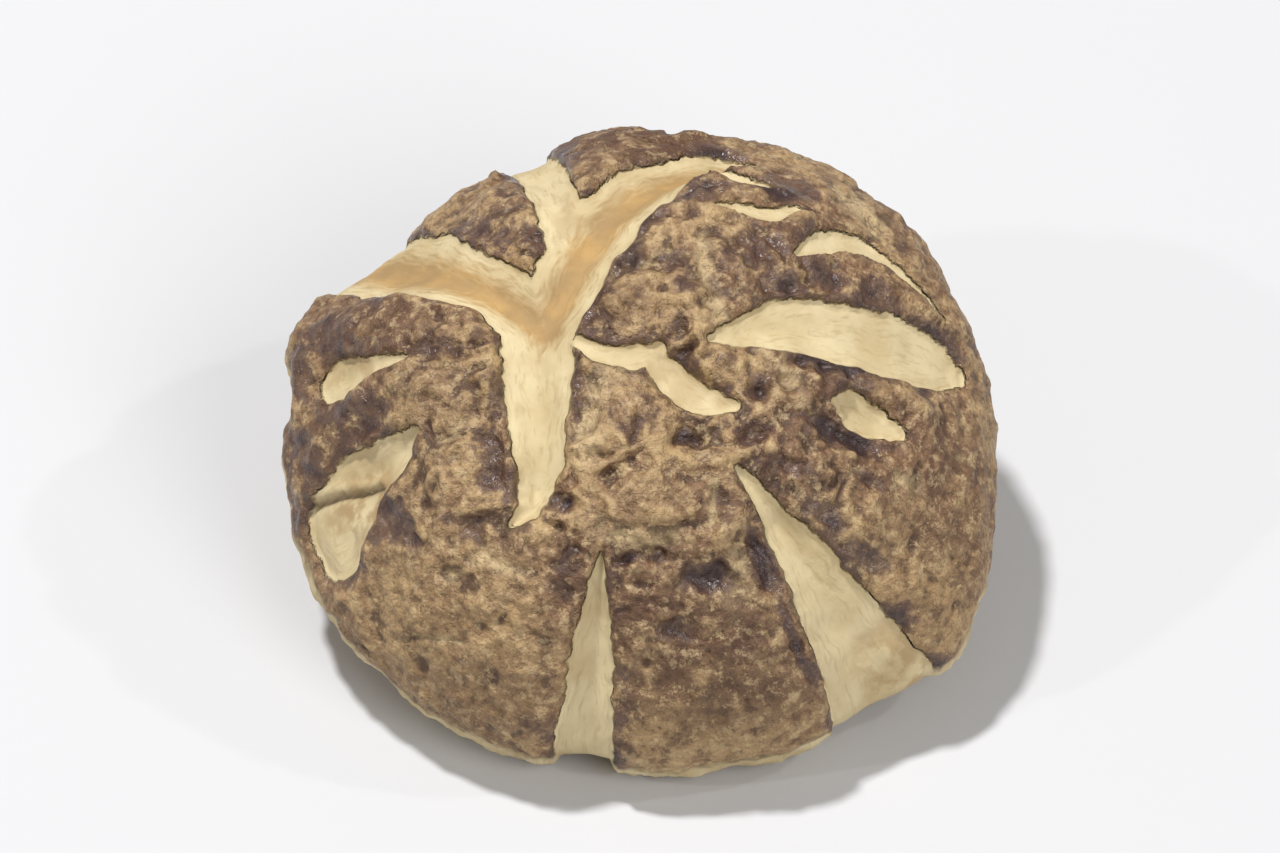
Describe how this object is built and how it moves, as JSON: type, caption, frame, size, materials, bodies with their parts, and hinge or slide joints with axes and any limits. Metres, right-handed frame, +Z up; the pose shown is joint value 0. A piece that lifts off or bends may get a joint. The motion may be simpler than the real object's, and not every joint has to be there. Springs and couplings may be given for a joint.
{
  "type": "dried shiitake mushroom",
  "caption": "Dried shiitake mushroom: a thick domed cap with dark skin cracked into plates over pale flesh, radial gills below and a short stem cut at a slant.",
  "frame": {"origin": "on the surface it rests on, under the middle of the whole mushroom", "axes": "+Z up; +X to the right across the cap; -Y is the side where the cap's margin touches the surface"},
  "size_m": [0.0414, 0.0375, 0.0231],
  "materials": {
    "cap_skin": "dry, finely wrinkled, dark brown skin with cream flesh in its cracks",
    "gill_flesh": "matt, orange tan, thin dry blades",
    "stem_fibre": "matt, tan, fibrous, with a cream cut face"
  },
  "bodies": {
    "root": {"cap": "cap_skin", "gills": "gill_flesh", "stem": "stem_fibre"}
  },
  "joints": []
}
